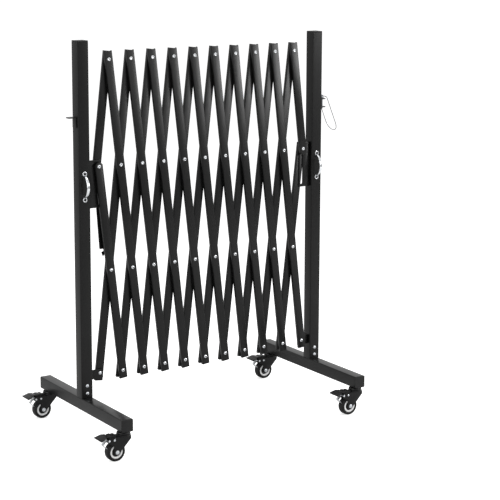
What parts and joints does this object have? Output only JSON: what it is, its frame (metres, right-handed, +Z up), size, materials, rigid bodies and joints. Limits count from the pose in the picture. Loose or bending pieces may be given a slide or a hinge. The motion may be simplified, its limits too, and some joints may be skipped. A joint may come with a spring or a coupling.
{
  "type": "expandable safety barrier",
  "caption": "Expandable barrier: a riveted scissor lattice of steel slats between two posts on feet with braked casters, with pull handles, a fold hook and a coupling pin.",
  "frame": {"origin": "on the floor under the middle of the bounding box", "axes": "+Z up, +X along the lattice from the tongue end to the clevis end, +Y to the back, away from the pull handles"},
  "size_m": [1.0209, 0.55, 1.225],
  "materials": {
    "black_coat": "satin black powder coat",
    "black_plastic": "fine moulded grain",
    "chrome": "polished plate",
    "zinc": "bright zinc plate",
    "tyre": "matt black rubber",
    "wheel": "light grey nylon"
  },
  "bodies": {
    "left_frame": {"left_post": "black_coat", "left_post_cap": "black_plastic", "left_foot": "black_coat", "left_slot_bracket": "black_coat", "left_pivot_bracket": "black_coat", "left_pull_handle": "chrome", "left_front_caster_head": "black_coat", "left_back_caster_head": "black_coat", "coupling_tongue": "black_coat"},
    "rear_slat_02": {"rear_slat_02": "black_coat"},
    "front_slat_01": {"front_slat_01": "black_coat"},
    "front_slat_02": {"front_slat_02": "black_coat"},
    "front_slat_03": {"front_slat_03": "black_coat"},
    "rear_slat_01": {"rear_slat_01": "black_coat"},
    "rear_slat_03": {"rear_slat_03": "black_coat"},
    "rear_slat_04": {"rear_slat_04": "black_coat"},
    "rear_slat_05": {"rear_slat_05": "black_coat"},
    "front_slat_04": {"front_slat_04": "black_coat"},
    "front_slat_05": {"front_slat_05": "black_coat"},
    "front_slat_06": {"front_slat_06": "black_coat"},
    "rear_slat_06": {"rear_slat_06": "black_coat"},
    "rear_slat_07": {"rear_slat_07": "black_coat"},
    "rear_slat_08": {"rear_slat_08": "black_coat"},
    "front_slat_07": {"front_slat_07": "black_coat"},
    "front_slat_08": {"front_slat_08": "black_coat"},
    "front_slat_09": {"front_slat_09": "black_coat"},
    "rear_slat_09": {"rear_slat_09": "black_coat"},
    "rear_slat_10": {"rear_slat_10": "black_coat"},
    "rear_slat_11": {"rear_slat_11": "black_coat"},
    "front_slat_10": {"front_slat_10": "black_coat"},
    "front_slat_11": {"front_slat_11": "black_coat"},
    "right_frame": {"right_post": "black_coat", "right_post_cap": "black_plastic", "right_foot": "black_coat", "right_slot_bracket": "black_coat", "right_pivot_bracket": "black_coat", "right_pull_handle": "chrome", "right_front_caster_head": "black_coat", "right_back_caster_head": "black_coat", "coupling_clevis": "black_coat"},
    "fold_hook": {"fold_hook": "black_coat"},
    "lock_pin": {"lock_pin": "zinc"},
    "pull_ring": {"pull_ring": "zinc"},
    "left_front_fork": {"left_front_fork": "black_coat"},
    "left_front_wheel": {"left_front_wheel": "wheel", "left_front_tyre": "tyre"},
    "left_front_brake_pedal": {"left_front_brake_pedal": "black_coat"},
    "left_back_fork": {"left_back_fork": "black_coat"},
    "left_back_wheel": {"left_back_wheel": "wheel", "left_back_tyre": "tyre"},
    "left_back_brake_pedal": {"left_back_brake_pedal": "black_coat"},
    "right_front_fork": {"right_front_fork": "black_coat"},
    "right_front_wheel": {"right_front_wheel": "wheel", "right_front_tyre": "tyre"},
    "right_front_brake_pedal": {"right_front_brake_pedal": "black_coat"},
    "right_back_fork": {"right_back_fork": "black_coat"},
    "right_back_wheel": {"right_back_wheel": "wheel", "right_back_tyre": "tyre"},
    "right_back_brake_pedal": {"right_back_brake_pedal": "black_coat"}
  },
  "joints": [
    {"name": "lattice_fold", "type": "hinge", "parent": "left_frame", "child": "rear_slat_02", "pos_m": [-0.37295, 0, 0.1975], "axis": [0, 1, 0], "range_deg": [-4.3, 28.37]},
    {"name": "front_slat_01_fold", "type": "hinge", "parent": "rear_slat_02", "child": "front_slat_01", "pos_m": [-0.33543, 0, 0.52033], "axis": [0, 1, 0], "range_deg": [-56.76, 8.62]},
    {"name": "front_slat_02_fold", "type": "hinge", "parent": "rear_slat_02", "child": "front_slat_02", "pos_m": [-0.29791, 0, 0.84315], "axis": [0, 1, 0], "range_deg": [-56.76, 8.62]},
    {"name": "front_slat_03_fold", "type": "hinge", "parent": "rear_slat_02", "child": "front_slat_03", "pos_m": [-0.26038, 0, 1.16598], "axis": [0, 1, 0], "range_deg": [-56.76, 8.62]},
    {"name": "rear_slat_01_fold", "type": "hinge", "parent": "front_slat_01", "child": "rear_slat_01", "pos_m": [-0.37295, 0, 0.84315], "axis": [0, 1, 0], "range_deg": [-8.62, 56.76]},
    {"name": "rear_slat_03_fold", "type": "hinge", "parent": "front_slat_03", "child": "rear_slat_03", "pos_m": [-0.22286, 0, 0.84315], "axis": [0, 1, 0], "range_deg": [-8.62, 56.76]},
    {"name": "rear_slat_04_fold", "type": "hinge", "parent": "front_slat_03", "child": "rear_slat_04", "pos_m": [-0.18534, 0, 0.52033], "axis": [0, 1, 0], "range_deg": [-8.62, 56.76]},
    {"name": "rear_slat_05_fold", "type": "hinge", "parent": "front_slat_03", "child": "rear_slat_05", "pos_m": [-0.14781, 0, 0.1975], "axis": [0, 1, 0], "range_deg": [-8.62, 56.76]},
    {"name": "front_slat_04_fold", "type": "hinge", "parent": "rear_slat_05", "child": "front_slat_04", "pos_m": [-0.11029, 0, 0.52033], "axis": [0, 1, 0], "range_deg": [-56.76, 8.62]},
    {"name": "front_slat_05_fold", "type": "hinge", "parent": "rear_slat_05", "child": "front_slat_05", "pos_m": [-0.07276, 0, 0.84315], "axis": [0, 1, 0], "range_deg": [-56.76, 8.62]},
    {"name": "front_slat_06_fold", "type": "hinge", "parent": "rear_slat_05", "child": "front_slat_06", "pos_m": [-0.03524, 0, 1.16598], "axis": [0, 1, 0], "range_deg": [-56.76, 8.62]},
    {"name": "rear_slat_06_fold", "type": "hinge", "parent": "front_slat_06", "child": "rear_slat_06", "pos_m": [0.00228, 0, 0.84315], "axis": [0, 1, 0], "range_deg": [-8.62, 56.76]},
    {"name": "rear_slat_07_fold", "type": "hinge", "parent": "front_slat_06", "child": "rear_slat_07", "pos_m": [0.03981, 0, 0.52033], "axis": [0, 1, 0], "range_deg": [-8.62, 56.76]},
    {"name": "rear_slat_08_fold", "type": "hinge", "parent": "front_slat_06", "child": "rear_slat_08", "pos_m": [0.07733, 0, 0.1975], "axis": [0, 1, 0], "range_deg": [-8.62, 56.76]},
    {"name": "front_slat_07_fold", "type": "hinge", "parent": "rear_slat_08", "child": "front_slat_07", "pos_m": [0.11485, 0, 0.52033], "axis": [0, 1, 0], "range_deg": [-56.76, 8.62]},
    {"name": "front_slat_08_fold", "type": "hinge", "parent": "rear_slat_08", "child": "front_slat_08", "pos_m": [0.15238, 0, 0.84315], "axis": [0, 1, 0], "range_deg": [-56.76, 8.62]},
    {"name": "front_slat_09_fold", "type": "hinge", "parent": "rear_slat_08", "child": "front_slat_09", "pos_m": [0.1899, 0, 1.16598], "axis": [0, 1, 0], "range_deg": [-56.76, 8.62]},
    {"name": "rear_slat_09_fold", "type": "hinge", "parent": "front_slat_09", "child": "rear_slat_09", "pos_m": [0.22742, 0, 0.84315], "axis": [0, 1, 0], "range_deg": [-8.62, 56.76]},
    {"name": "rear_slat_10_fold", "type": "hinge", "parent": "front_slat_09", "child": "rear_slat_10", "pos_m": [0.26495, 0, 0.52033], "axis": [0, 1, 0], "range_deg": [-8.62, 56.76]},
    {"name": "rear_slat_11_fold", "type": "hinge", "parent": "front_slat_09", "child": "rear_slat_11", "pos_m": [0.30247, 0, 0.1975], "axis": [0, 1, 0], "range_deg": [-8.62, 56.76]},
    {"name": "front_slat_10_fold", "type": "hinge", "parent": "rear_slat_11", "child": "front_slat_10", "pos_m": [0.33999, 0, 0.52033], "axis": [0, 1, 0], "range_deg": [-56.76, 8.62]},
    {"name": "front_slat_11_fold", "type": "hinge", "parent": "rear_slat_11", "child": "front_slat_11", "pos_m": [0.37752, 0, 0.84315], "axis": [0, 1, 0], "range_deg": [-56.76, 8.62]},
    {"name": "right_frame_fold", "type": "hinge", "parent": "front_slat_10", "child": "right_frame", "pos_m": [0.37752, 0, 0.1975], "axis": [0, 1, 0], "range_deg": [-4.31, 28.38]},
    {"name": "fold_hook_swing", "type": "hinge", "parent": "front_slat_01", "child": "fold_hook", "pos_m": [-0.37295, 0, 0.84315], "axis": [0, -1, 0], "range_deg": [-4.5, 95]},
    {"name": "lock_pin_lift", "type": "slide", "parent": "right_frame", "child": "lock_pin", "axis": [0, 0, 1], "range_m": [0, 0.03]},
    {"name": "pull_ring_swing", "type": "hinge", "parent": "lock_pin", "child": "pull_ring", "pos_m": [0.46152, 0, 1.01105], "axis": [0, -1, 0], "range_deg": [-26, 148]},
    {"name": "left_front_swivel", "type": "hinge", "parent": "left_frame", "child": "left_front_fork", "pos_m": [-0.42445, -0.248, 0.0739], "axis": [0, 0, 1], "continuous": true},
    {"name": "left_front_wheel_spin", "type": "hinge", "parent": "left_front_fork", "child": "left_front_wheel", "pos_m": [-0.45345, -0.248, 0.03], "axis": [0, 1, 0], "continuous": true},
    {"name": "left_front_brake", "type": "hinge", "parent": "left_front_fork", "child": "left_front_brake_pedal", "pos_m": [-0.46195, -0.248, 0.068], "axis": [0, 1, 0], "range_deg": [0, 8]},
    {"name": "left_back_swivel", "type": "hinge", "parent": "left_frame", "child": "left_back_fork", "pos_m": [-0.42445, 0.248, 0.0739], "axis": [0, 0, 1], "continuous": true},
    {"name": "left_back_wheel_spin", "type": "hinge", "parent": "left_back_fork", "child": "left_back_wheel", "pos_m": [-0.45345, 0.248, 0.03], "axis": [0, 1, 0], "continuous": true},
    {"name": "left_back_brake", "type": "hinge", "parent": "left_back_fork", "child": "left_back_brake_pedal", "pos_m": [-0.46195, 0.248, 0.068], "axis": [0, 1, 0], "range_deg": [0, 8]},
    {"name": "right_front_swivel", "type": "hinge", "parent": "right_frame", "child": "right_front_fork", "pos_m": [0.42902, -0.248, 0.0739], "axis": [0, 0, 1], "continuous": true},
    {"name": "right_front_wheel_spin", "type": "hinge", "parent": "right_front_fork", "child": "right_front_wheel", "pos_m": [0.40002, -0.248, 0.03], "axis": [0, 1, 0], "continuous": true},
    {"name": "right_front_brake", "type": "hinge", "parent": "right_front_fork", "child": "right_front_brake_pedal", "pos_m": [0.39152, -0.248, 0.068], "axis": [0, 1, 0], "range_deg": [0, 8]},
    {"name": "right_back_swivel", "type": "hinge", "parent": "right_frame", "child": "right_back_fork", "pos_m": [0.42902, 0.248, 0.0739], "axis": [0, 0, 1], "continuous": true},
    {"name": "right_back_wheel_spin", "type": "hinge", "parent": "right_back_fork", "child": "right_back_wheel", "pos_m": [0.40002, 0.248, 0.03], "axis": [0, 1, 0], "continuous": true},
    {"name": "right_back_brake", "type": "hinge", "parent": "right_back_fork", "child": "right_back_brake_pedal", "pos_m": [0.39152, 0.248, 0.068], "axis": [0, 1, 0], "range_deg": [0, 8]}
  ],
  "couplings": [
    {"joint": "front_slat_01_fold", "follows": "lattice_fold", "ratio": -2},
    {"joint": "front_slat_02_fold", "follows": "lattice_fold", "ratio": -2},
    {"joint": "front_slat_03_fold", "follows": "lattice_fold", "ratio": -2},
    {"joint": "rear_slat_01_fold", "follows": "lattice_fold", "ratio": 2},
    {"joint": "rear_slat_03_fold", "follows": "lattice_fold", "ratio": 2},
    {"joint": "rear_slat_04_fold", "follows": "lattice_fold", "ratio": 2},
    {"joint": "rear_slat_05_fold", "follows": "lattice_fold", "ratio": 2},
    {"joint": "front_slat_04_fold", "follows": "lattice_fold", "ratio": -2},
    {"joint": "front_slat_05_fold", "follows": "lattice_fold", "ratio": -2},
    {"joint": "front_slat_06_fold", "follows": "lattice_fold", "ratio": -2},
    {"joint": "rear_slat_06_fold", "follows": "lattice_fold", "ratio": 2},
    {"joint": "rear_slat_07_fold", "follows": "lattice_fold", "ratio": 2},
    {"joint": "rear_slat_08_fold", "follows": "lattice_fold", "ratio": 2},
    {"joint": "front_slat_07_fold", "follows": "lattice_fold", "ratio": -2},
    {"joint": "front_slat_08_fold", "follows": "lattice_fold", "ratio": -2},
    {"joint": "front_slat_09_fold", "follows": "lattice_fold", "ratio": -2},
    {"joint": "rear_slat_09_fold", "follows": "lattice_fold", "ratio": 2},
    {"joint": "rear_slat_10_fold", "follows": "lattice_fold", "ratio": 2},
    {"joint": "rear_slat_11_fold", "follows": "lattice_fold", "ratio": 2},
    {"joint": "front_slat_10_fold", "follows": "lattice_fold", "ratio": -2},
    {"joint": "front_slat_11_fold", "follows": "lattice_fold", "ratio": -2},
    {"joint": "right_frame_fold", "follows": "lattice_fold", "ratio": 1}
  ]
}
